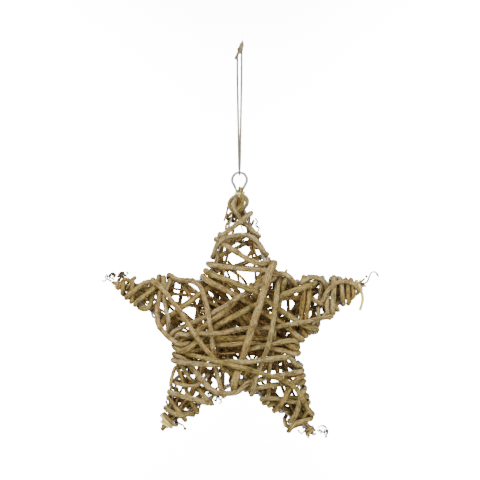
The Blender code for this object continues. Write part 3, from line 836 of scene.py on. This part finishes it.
# How thin the core sticks are at their ends, the top one and the others.
TOP_STICK_END = 0.28
SIDE_STICK_END = 0.75

# More sticks beside the core stick, in mm: the tip's number, how far along and beside it each one starts and
# then ends, its radius, and how far back its end lies.
EXTRA_STICKS = (
    (1, -26, 3.4, 6.6, -3.0, 1.5, 0.5), (1, -22, -4.0, 3.0, 2.6, 1.2, -1.5),
    (2, -24, -4.4, 5.5, 5.6, 1.9, 1.0), (2, -26, 4.6, 6.5, -4.2, 1.8, -1.6),
    (2, -18, 1.5, 7.8, 1.4, 1.5, -3.2), (3, -25, 4.0, 2.0, -3.4, 1.5, 1.2),
    (3, -12, -1.4, 5.4, -1.7, 1.9, -2.0), (4, -24, 3.6, 5.0, 3.2, 1.4, -1.4),
    (4, -12, -1.2, 8.6, -1.0, 2.4, -2.0), (0, -22, -1.0, 12.4, -2.1, 2.0, -3.0),
    (0, -20, 1.0, 9.6, 1.5, 1.7, -2.6), (0, -16, 3.4, 3.0, 3.6, 1.3, -3.0),
)


def make_sticks():
    for number, tip in enumerate(TIPS):
        rng = default_rng(40 + number)
        axis = TIP_LINES[number][1]
        centres, radii = rings_of("core_stick_" + tip, STICK_SIDES)
        middle = (centres[0] + centres[-1]) / 2
        line, wide = smooth_line([centres[0], middle, centres[-1]], radii.mean(), 0.0009)
        if (line[-1] - line[0]) @ axis < 0:
            line = line[::-1]
        end_share = SIDE_STICK_END if number else TOP_STICK_END
        taper = np.interp(np.linspace(0, 1, len(line)), [0, 0.88, 1.0], [1.0, 1.0, end_share])
        sweep = Sweep()
        sweep.add(line, wide * taper, 16, rng, tint=rng.uniform(-0.3, 0.6), ridges=0.035, joints=0.05)
        finish = OLIVE if number else HEART
        sweep.build("stick_" + tip, [finish, CUT], "heart", "core_stick_" + tip)
    extra = Sweep()
    rng = default_rng(48)
    for number, start, beside, end, over, radius, front in EXTRA_STICKS:
        place, axis = TIP_LINES[number]
        across = np.cross(axis, BACKWARD)
        forward = BACKWARD * front
        points = [
            place + (axis * start + across * beside) * MM,
            place + (axis * (start + end) / 2 + across * (beside + over) / 2 + forward * 1.6) * MM,
            place + (axis * end + across * over + forward) * MM,
        ]
        line, wide = smooth_line(points, radius * MM, 0.0010)
        wide = wide * np.interp(np.linspace(0, 1, len(line)), [0, 0.85, 1], [1, 1, 0.6])
        extra.add(line, wide, 12, rng, tint=rng.uniform(-0.6, 0.6), ridges=0.04, joints=0.10)
    extra.build("extra_sticks", [BARK, CUT], "heart")


# Bindings, in metres: a flat split cane with rounded edges, and its loose ends as (x, z, depth) in mm.
STRIP_SECTION = (
    (-1, -0.4), (-0.8, -1), (0, -1.1), (0.8, -1), (1, -0.4),
    (1, 0.4), (0.8, 1), (0, 1.25), (-0.8, 1), (-1, 0.4),
)
CANE_TURNS = 2.8
CANE_POINTS = 150
CANE_HALF_WIDTH = 0.00115
CANE_HALF_THICK = 0.00042
CANE_LIFT = 0.00030
CANE_SLIP = 0.0011
CANE_EDGE = 0.0028
TAIL_HALF_THICK = 0.0006
CANE_TAILS = {
    "right": ((140.5, 41, -4), (143, 35, -5), (143.6, 29, -5), (142.2, 22, -4.5), (140.2, 16.5, -4)),
    "lower_left": ((-92, -105, -3), (-88, -109.5, -7.5), (-83, -114.5, -8), (-77, -118, -4)),
}


def strip(sweep, line, across, half_width, half_thick, rng):
    """A flat strip along the line, its width lying across."""
    along = unit(np.gradient(line, axis=0))
    across = unit(across - along * (across * along).sum(axis=1)[:, None])
    outward = unit(np.cross(along, across))
    half_width = np.broadcast_to(half_width, len(line))[:, None]
    rings = [line + across * w * half_width + outward * t * half_thick for w, t in STRIP_SECTION]
    rings = np.stack(rings, axis=1)
    bark = np.empty(rings.shape)
    bark[..., :2] = np.array(STRIP_SECTION) * [1.5, 0.4]
    bark[..., 2] = lengths_along(line)[:, None] / MM + rng.uniform(0, 500)
    sweep.add_rings(rings, bark, 0.0, np.zeros(len(line)))


def make_bindings():
    """A cane wound round each tip a few times, not quite evenly."""
    for number, tip in enumerate(TIPS):
        rng = default_rng(60 + number)
        place, axis = TIP_LINES[number]
        across = np.cross(axis, BACKWARD)
        away = vertices_of("tip_binding_" + tip) - place
        along = away @ axis
        middle = place + axis * (along.min() + along.max()) / 2
        radius = norm(away - along[:, None] * axis, axis=1).mean()
        share = np.linspace(0, 1, CANE_POINTS)
        angle = TURN * CANE_TURNS * share + rng.uniform(0, 2)
        length = along.max() - along.min() - CANE_EDGE
        slide = length * (0.5 - share) + CANE_SLIP * np.sin(angle * 0.63 + 1.0)
        lift = CANE_LIFT * (1 + np.sin(angle * 0.5))
        line = middle + axis * slide[:, None] + around(angle, across, BACKWARD) * (radius + lift)[:, None]
        sweep = Sweep()
        width = CANE_HALF_WIDTH * (1 + 0.20 * drift(rng, CANE_POINTS, 0.001, 0.01))
        strip(sweep, line, np.broadcast_to(axis, line.shape), width, CANE_HALF_THICK, rng)
        if tip in CANE_TAILS:
            tail = hand_line(CANE_TAILS[tip], 0.0009)
            lean = np.cross(unit(np.gradient(tail, axis=0)), (0.15, 1.0, 0.1))
            strip(sweep, tail, lean, np.linspace(0.0019, 0.0016, len(tail)), TAIL_HALF_THICK, rng)
        finish = BROWN_CANE if tip in ("left", "lower_right") else CANE
        sweep.build("cane_" + tip, [finish], "cane", "tip_binding_" + tip)


make_sticks()
make_bindings()


# Thin shoots inside the star: they run along the arms and across the body between front and back.
TOP_SHOOTS = 4
ARM_SHOOTS = 7
BODY_SHOOTS = 40
SHOOT_STEP = 0.0022
EDGE_STEP = 0.0016
EDGE_POINTS = 26
ARM_SLOPE = 0.34
ARM_ROOM = (0.001, 0.036)
ARM_WANDER = 0.0012
BODY_WANDER = 0.0013


def inside_depth(place):
    """Half the space between the front and the back wires at a place."""
    along = max((place - STAR_CENTRE) @ (axis * [1, 0, 1]) for _, axis in TIP_LINES)
    share = min(max((TIP_RADIUS - along) / (TIP_RADIUS - CORNER_ALONG_ARM), 0), 1)
    return (TIP_DEPTH + (CORNER_DEPTH - TIP_DEPTH) * share) / 2


def with_depths(places, first, last):
    """The places moved in depth, by shares of the room between the wires."""
    for place, share in zip(places, np.linspace(0, 1, len(places))):
        place[1] = (first + (last - first) * share) * inside_depth(place)
    return places


def arm_shoot(rng, number):
    """A thin shoot that runs from an arm's tip into the body, at one side of it or across it."""
    tip, axis = TIP_LINES[number]
    across = np.cross(axis, BACKWARD)
    start, end = rng.uniform(0.0, 14.0) * MM, rng.uniform(60, 150) * MM
    side_a = rng.choice((-1, 1)) * rng.uniform(0.55, 0.95)
    side_b = side_a * rng.uniform(0.6, 1.0) if rng.uniform() < 0.65 else -side_a
    depths = rng.uniform(-0.9, 0.9, 2)
    places = []
    for share in np.linspace(0, 1, 5):
        inward = start + (end - start) * share
        room = min(max(inward * ARM_SLOPE, ARM_ROOM[0]), ARM_ROOM[1])
        aside = room * (side_a + (side_b - side_a) * share) + rng.normal(0, ARM_WANDER)
        places.append(tip - axis * inward + across * aside)
    return with_depths(places, *depths)


def body_shoot(rng):
    """A thin shoot from one side of the body to another, a little bent."""
    angle, turn = rng.uniform(0, TURN), rng.uniform(2.0, 4.3)
    reach_a, reach_b = rng.uniform(0.046, 0.060, 2)
    a, b = place_at(angle, reach_a), place_at(angle + turn, reach_b)
    depths = rng.uniform(-0.6, 0.9, 2)
    places = [a + (b - a) * share + rng.normal(0, BODY_WANDER, 3) for share in np.linspace(0, 1, 5)]
    return with_depths(places, *depths)


def edge_shoot(rng, edge, side):
    """A thin shoot wound loosely round one wire, from near a corner towards a tip."""
    tip = TIP_LINES[(edge + 1) // 2 % 5][0]
    corner = place_at(math.radians(90 - 36 * (edge + 1 - edge % 2)), CORNER_RADIUS)
    start, end = rng.uniform(0.05, 0.25), rng.uniform(0.70, 0.97)
    share = np.linspace(start, end, EDGE_POINTS)
    middle = corner + (tip - corner) * share[:, None]
    middle[:, 1] = side * (CORNER_DEPTH + (TIP_DEPTH - CORNER_DEPTH) * share) / 2
    across = np.cross(unit(tip - corner), BACKWARD)
    turns = norm(tip - corner) * (end - start) / rng.uniform(0.016, 0.030)
    angle = np.linspace(0, turns * TURN, EDGE_POINTS)
    away = rng.uniform(0.0026, 0.0034) + 0.0008 * drift(rng, EDGE_POINTS, 0.003, 0.012)
    return middle + around(angle, across, BACKWARD) * away[:, None]


def grow(rng, sweep, points, thinnest, thickest):
    """A thin shoot through the points, as thick as one draw between the two radii."""
    line, wide = smooth_line(points, rng.uniform(thinnest, thickest), SHOOT_STEP)
    sweep.add(line, wide, 8, rng, tint=rng.uniform(-1, 1), ridges=0.03, joints=0.14)


def make_shoots():
    rng = default_rng(77)
    red, brown = Sweep(), Sweep()
    for number in range(5):
        for k in range(ARM_SHOOTS if number else TOP_SHOOTS):
            grow(rng, brown if k % 3 else red, arm_shoot(rng, number), 0.0012, 0.0021)
    for k in range(BODY_SHOOTS):
        grow(rng, brown if k % 4 else red, body_shoot(rng), 0.0015, 0.0027)
    # The brown shoots take the darker brown: painted shade inside the star.
    red.build("red_shoots", [HEART, CUT], "heart")
    brown.build("brown_shoots_painted_shade", [BROWN_DARKENED_AS_SHADE, CUT], "bark")
    edges = Sweep()
    for edge in range(10):
        for side in (-1, 1):
            line, wide = smooth_line(edge_shoot(rng, edge, side), rng.uniform(0.0010, 0.0016), EDGE_STEP)
            edges.add(line, wide, 9, rng, tint=rng.uniform(-1, 0.6), ridges=0.03, joints=0.16)
    edges.build("edge_shoots", [BARK, CUT], "bark")


make_shoots()


# Loose ends seen from the front: radius at both ends, then (x, z, depth) from the star's centre, all in mm.
LOOSE_ENDS = (
    (2.5, 2.3, (-2, 150, -4), (-8.5, 146.5, -7), (-12, 141, -8), (-10.5, 135.5, -9), (-4, 130, -8)),
    (1.4, 1.1, (-11, 142, -7), (-13.5, 137, -8), (-15, 130, -9), (-18, 120.5, -7)),
    (0.9, 0.7, (15, 118, -5), (12.5, 113, -7), (8, 106, -6)),
    (0.8, 0.7, (3, 118, 2), (2.5, 113, 0), (5, 108, 1)),
    (1.0, 0.6, (-30, 79, -9), (-22, 83, -10), (-14, 87, -10), (-9, 91, -8)),
    (1.5, 1.2, (53, 59, -15), (54, 62.5, -15), (54.5, 65, -15)),
    (2.5, 2.3, (2, 150.5, -5), (7, 148, -7), (9, 143, -8), (7, 138, -8), (-1, 132, -7)),
    (1.2, 0.9, (-86, -89, -4), (-84, -93, -6), (-81, -99, -5)),
    (1.9, 1.2, (131, 44, -5), (140, 48.5, -6), (146, 53.5, -5)),
    (1.5, 1.0, (136, 43, -6), (143, 44.5, -6), (148, 45, -4)),
    (1.4, 1.2, (-130, 54, -3), (-126, 48, -7), (-121, 36, -6), (-117, 31, -3)),
    (1.2, 1.0, (-139, 40, -3), (-133, 41, -6), (-126, 49, -6), (-122, 55, -3)),
)
RED_ENDS = (
    (1.3, 1.0, (-31, 42, -9), (-20, 34, -10), (-9, 26, -8)),
    (1.2, 0.9, (6.5, 42, -9), (12, 36, -11), (18, 29, -9)),
    (1.1, 0.8, (-29, -34, -12), (-10, -33, -12), (14, -32.5, -12)),
    (1.0, 0.8, (36, -88, -7), (44, -85, -9), (56, -84, -9), (71, -86, -6)),
    (0.9, 0.8, (-87, 26, -9), (-81, 23, -11), (-75, 22, -9)),
    (0.9, 0.7, (-75, -99, -6), (-69, -93, -8), (-64, -85, -7)),
    (1.1, 0.9, (-2, 150, -5), (-1, 142, -6), (-2, 136, -5)),
    (0.8, 0.7, (-70, 54, -8), (-62, 36, -9), (-56, 24, -8)),
)


# Strands that show between the vines, given in the same way. They run on behind other vines at both ends.
INNER_STRANDS = (
    (2.1, 1.8, (-77, 48, 6), (-80, 38, 8), (-84, 20, 9), (-86, 2, 9)),
    (2.3, 2.0, (-68, 52, -8), (-60, 38, -8), (-50, 20, -6), (-44, 2, -3)),
    (1.8, 1.5, (-88, 26, -4), (-74, 25, -6), (-60, 20, -3)),
    (2.0, 1.8, (-71, 16, 8), (-74, 4, 9), (-72, -10, 10)),
    (1.7, 1.5, (-84, -4, -6), (-78, 8, -7), (-66, 24, -5)),
    (2.3, 2.0, (-44, 44, 6), (-42, 26, 10), (-40, 4, 11), (-44, -14, 10)),
    (1.6, 1.4, (-16, 88, -5), (-7, 94, -7), (4, 103, -6), (10, 106, -4)),
    (2.1, 1.9, (9, 78, 6), (15, 86, 8), (22, 100, 6)),
    (1.6, 1.4, (4, 100, 4), (10, 108, 5), (17, 122, 3)),
    (2.2, 2.0, (58, 54, 5), (59, 44, 8), (57, 28, 9), (58, 10, 10)),
    (2.1, 1.8, (70, 34, 6), (68, 22, 9), (67, 4, 10), (64, -8, 9)),
    (2.4, 2.2, (35, -60, -11), (34, -72, -13), (33, -84, -12), (36, -92, -9), (45, -98, -5)),
    (2.0, 1.8, (62, -76, 5), (56, -88, 7), (50, -104, 4)),
    (2.1, 1.9, (38, -26, 8), (44, -44, 10), (46, -62, 8)),
    (1.9, 1.7, (-40, -52, 8), (-30, -62, 9), (-16, -76, 7)),
    (1.8, 1.6, (4, -50, 10), (-2, -60, 10), (-8, -72, 9)),
    (1.7, 1.5, (-34, 63, 3), (-21, 66, 4), (-9, 62, 5), (2, 55, 6), (9, 46, 6)),
    (1.4, 1.2, (-26, 76, 4), (-18, 68, 3), (-13, 58, 5), (-10, 46, 6)),
    (1.5, 1.3, (-14, 74, 5), (-7, 66, 5), (-2, 56, 6), (0, 44, 6)),
    (1.1, 0.9, (-31, 69, -2), (-24, 72, -4), (-17, 68, -5), (-10, 70, -4), (-3, 65, -2)),
    (1.6, 1.4, (-16, -35, 7), (0, -38, 8), (14, -36, 9), (30, -40, 8)),
    (1.4, 1.3, (-9, -27, 6), (-4, -37, 7), (2, -47, 8)),
    (1.6, 1.4, (6, -28, 7), (11, -38, 8), (20, -48, 8)),
    (1.3, 1.2, (25, -28, 6), (19, -38, 7), (11, -48, 9)),
)


def make_loose_ends():
    rng = default_rng(31)
    for name, finish, slot, ends in (
        ("loose_ends", OLIVE, "bark", LOOSE_ENDS),
        ("red_ends", HEART, "heart", RED_ENDS),
        # The inner strands take the darker brown: painted shade inside the star.
        ("inner_strands", BROWN_DARKENED_AS_SHADE, "bark", INNER_STRANDS),
    ):
        sweep = Sweep()
        for first, last, *points in ends:
            line = hand_line(points, 0.0011)
            wide = np.linspace(first, last, len(line)) * MM
            sweep.add(line, wide, 12, rng, tint=rng.uniform(-0.7, 0.7), ridges=0.04, joints=0.14)
        sweep.build(name, [finish, CUT], slot)


make_loose_ends()


# Dried tendrils, in mm from the star's centre. Hooks: radius at the start, then (x, z, depth).
HOOKS = (
    (0.68, (143, 46, -3), (149, 50, -5), (151.5, 56, -5), (154, 60.5, -4), (158.5, 61, -3), (163, 55.5, -3)),
    (0.62, (18, 124, -6), (21, 120, -8), (19, 116, -7), (23, 112, -8), (21, 108, -7), (25, 104, -7)),
    (0.62, (-74, -111, -6), (-70, -115, -8), (-66, -117, -8), (-63.5, -121, -6)),
    (0.60, (-40, -88, -8), (-34, -86, -9), (-29, -83, -9), (-24, -86, -8), (-21, -90, -8), (-24, -92, -7)),
    (0.60, (-34, -79, -7), (-29, -82, -8), (-24, -79, -8), (-20, -84, -7), (-22, -88, -6)),
    (0.70, (-76, -19, -10), (-78.5, -23, -12), (-77, -27, -12), (-73, -29, -11)),
    (0.50, (94, -123, -3), (98, -126, -4), (102, -125, -4), (101, -130, -3)),
    (0.50, (92, -120, -3), (97, -118, -4), (101, -121, -4), (103, -127, -3), (99, -129, -3)),
    (0.55, (68, -123, -3), (72, -127, -5), (76, -125, -5), (79, -129, -4)),
    (0.62, (-150, 50, -2), (-155, 53, -3), (-158, 50, -3), (-161, 52, -3)),
    (0.50, (-146, 52, -3), (-152, 56, -4), (-149, 60, -4), (-145, 57, -4), (-149, 54, -3)),
)
HOOK_THICKER = 1.75

# Buds: x, z, depth and radius. Clusters of small curls: the middle, how far they spread and how many.
BUDS = ((148, 56, -5, 1.7), (-63.5, -121.5, -6, 1.8), (-31, -92.5, -8, 1.8), (101, -131, -3, 1.5))
CURL_POINTS = 22
CURLS = (
    (-143, 55, -4, 11, 3.5, 15), (-136, 58.5, -3, 6, 3, 6), (-23, 69, -6, 9, 5, 8), (55, 13, -10, 7, 6, 4),
    (-31, -85, -5, 8, 4, 4), (84, -127, -4, 7, 4, 6), (-75, -23, -11, 3, 4, 4), (97, -124, -4, 5, 5, 5),
)


def curl(rng, start, reach):
    """A small tendril that winds up as it goes."""
    turns, radius = rng.uniform(0.8, 1.8), rng.uniform(0.0010, 0.0024)
    heading = unit(rng.normal(0, 1, 3) * [1, 0.5, 1])
    side = unit(np.cross(heading, rng.normal(0, 1, 3)))
    share = np.linspace(0, 1, CURL_POINTS)
    winding = around(TURN * turns * share, side, np.cross(heading, side))
    share = share[:, None]
    return start + heading * reach * share + winding * radius * (0.3 + share)


def make_tendrils():
    rng = default_rng(55)
    sweep = Sweep()
    for radius, *points in HOOKS:
        line = hand_line(points, 0.0008)
        wide = HOOK_THICKER * np.linspace(radius, radius * 0.75, len(line)) * MM
        sweep.add(line, wide, 7, rng, tint=rng.uniform(-1, 0.5), ridges=0.05, joints=0.3)
    for x, z, y, radius in BUDS:
        sweep.ball(spot(x, z, y), radius * MM, rng, tint=-1.0)
    for number, (x, z, y, wide, tall, count) in enumerate(CURLS):
        rng = default_rng(300 + number)
        for k in range(count):
            aside = wide * (2 * (k + rng.uniform(0, 1)) / count - 1)
            start = spot(x + aside, z + rng.uniform(-tall, tall), y + rng.uniform(-2, 2))
            line, _ = smooth_line(curl(rng, start, rng.uniform(0.002, 0.006)), 0, 0.0007)
            thick = np.linspace(1, 0.7, len(line)) * rng.uniform(0.00070, 0.00105)
            sweep.add(line, thick, 6, rng, tint=rng.uniform(-1, 1), ridges=0.05, joints=0.3)
    sweep.build("dry_tendrils", [TENDRIL, CUT], "bark")


make_tendrils()


# Floor, backdrop and light, in metres and watts.
FLOOR_Z = -2.4
SWEEP_HALF_WIDTH = 2.3
SWEEP_START = -3.0
SWEEP_END = 8.0
SWEEP_TOP = 2.0
SWEEP_BEND = 1.2
SWEEP_PARTS = 12
LIT_PLACE = (0, 0, -0.3)
WASH_PLACE = (2.2, 5.6, -0.1)


def make_stage():
    """A white sweep: a floor below the hung star that curves up into a distant backdrop."""
    g = Graph("white_sweep")
    white = g.finish((0.93, 0.93, 0.93, 1), 0.9)
    profile = [(SWEEP_START, FLOOR_Z)]
    for part in range(SWEEP_PARTS + 1):
        angle = math.pi / 2 * part / SWEEP_PARTS
        back = SWEEP_END - SWEEP_BEND * (1 - math.sin(angle))
        profile.append((back, FLOOR_Z + SWEEP_BEND * (1 - math.cos(angle))))
    profile.append((SWEEP_END, SWEEP_TOP))
    verts = [(x, y, z) for x in (-SWEEP_HALF_WIDTH, SWEEP_HALF_WIDTH) for y, z in profile]
    n = len(profile)
    faces = [(k, k + 1, n + k + 1, n + k) for k in range(n - 1)]
    mesh = bpy.data.meshes.new("studio_sweep")
    mesh.from_pydata(verts, [], faces)
    mesh.materials.append(white)
    mesh.shade_smooth()
    sweep = new_object("studio_sweep", mesh)


def area_light(name, place, target, size, power):
    data = bpy.data.lights.new(name, "AREA")
    data.shape = "RECTANGLE"
    data.size, data.size_y = size
    data.energy = power
    light = new_object(name, data)
    light.location = place
    x, y, z = np.array(target) - np.array(place)
    light.rotation_euler = (math.atan2(math.hypot(x, y), -z), 0, math.atan2(x, -y) + math.pi)


def make_lights():
    world = bpy.data.worlds.new("studio_air")
    bpy.context.scene.world = world
    world.use_nodes = True
    sky = world.node_tree.nodes["Background"]
    sky.inputs["Color"].default_value = (1, 1, 1, 1)
    sky.inputs["Strength"].default_value = 0.85
    area_light("key_softbox", (-0.9, -1.5, 1.1), LIT_PLACE, (0.8, 0.8), 55)
    area_light("fill_softbox", (1.4, -1.3, 0.1), LIT_PLACE, (1.2, 1.2), 21)
    x, y, z = WASH_PLACE
    for side in (-1, 1):
        area_light("sweep_wash", (side * x, y, z), (side * x, SWEEP_END, z), (1.4, 3.6), 1850)


make_stage()
make_lights()
